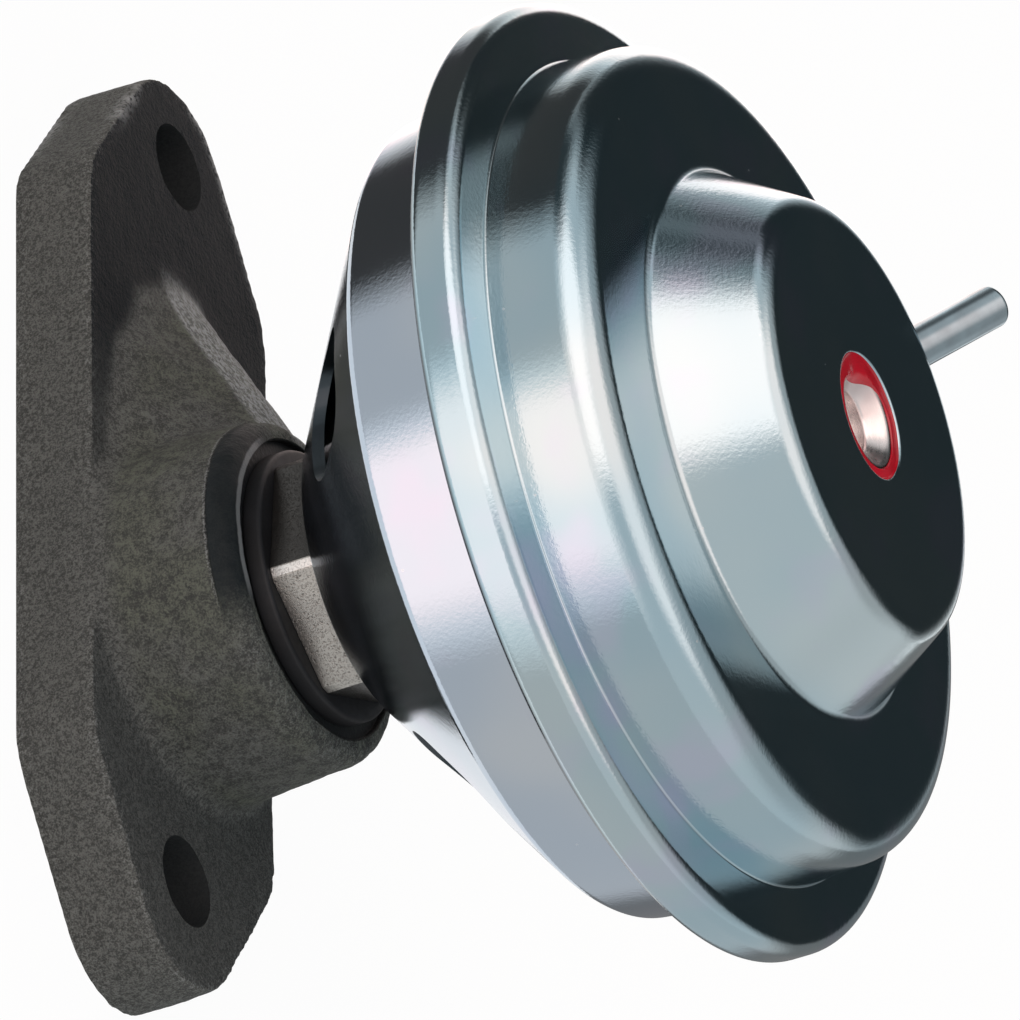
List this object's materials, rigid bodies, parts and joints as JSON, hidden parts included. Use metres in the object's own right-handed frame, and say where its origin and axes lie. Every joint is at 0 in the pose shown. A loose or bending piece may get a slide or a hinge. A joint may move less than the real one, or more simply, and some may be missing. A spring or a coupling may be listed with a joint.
{
  "type": "egr valve",
  "caption": "Vacuum-operated exhaust gas recirculation valve: two-bolt cast base with a sloping gas passage, windowed housing and stepped diaphragm cover.",
  "frame": {"origin": "on the mounting face, midway between the two bolt holes", "axes": "+Z out of the mounting face, along the valve stem and away from the engine; +X along the flange, towards the bolt hole nearer the stem"},
  "size_m": [0.1063, 0.0896, 0.083],
  "materials": {
    "cast_iron": "as-cast, dark, sand grain",
    "seat_steel": "turned",
    "gasket": "black graphite ring",
    "sintered_iron": "sintered, fine pores",
    "packing": "pressed graphite packing",
    "steel": "plain",
    "zinc_steel": "bright zinc, clear blue passivate",
    "zinc_tube": "zinc plated, scuffed",
    "plug_metal": "turned, satin",
    "lacquer": "red lacquer",
    "spring_steel": "drawn wire",
    "diaphragm_rubber": "moulded, fabric backed",
    "stem_steel": "ground",
    "plate_steel": "yellow zinc"
  },
  "bodies": {
    "casing": {"base_casting": "cast_iron", "valve_seat": "seat_steel", "boss_gasket": "gasket", "hex_bushing": "sintered_iron", "stem_seal": "packing", "seal_washer": "steel", "lower_housing": "zinc_steel", "stake_washer": "steel", "upper_cover": "zinc_steel", "vacuum_tube": "zinc_tube", "calibration_plug": "plug_metal", "lacquer_seal": "lacquer", "spring_seat": "steel", "return_spring": "spring_steel", "diaphragm": "diaphragm_rubber"},
    "stem_assembly": {"valve_stem": "stem_steel", "pintle": "stem_steel", "deflector": "steel", "backing_washer": "steel", "lower_plate": "plate_steel", "upper_plate": "plate_steel", "clamp_washer": "steel"}
  },
  "joints": [
    {"name": "pintle_lift", "type": "slide", "parent": "casing", "child": "stem_assembly", "axis": [0, 0, 1], "range_m": [0, 0.0048], "stiffness_N_per_m": 6000, "springref_m": -0.004, "deforming": ["return_spring", "diaphragm"]}
  ]
}
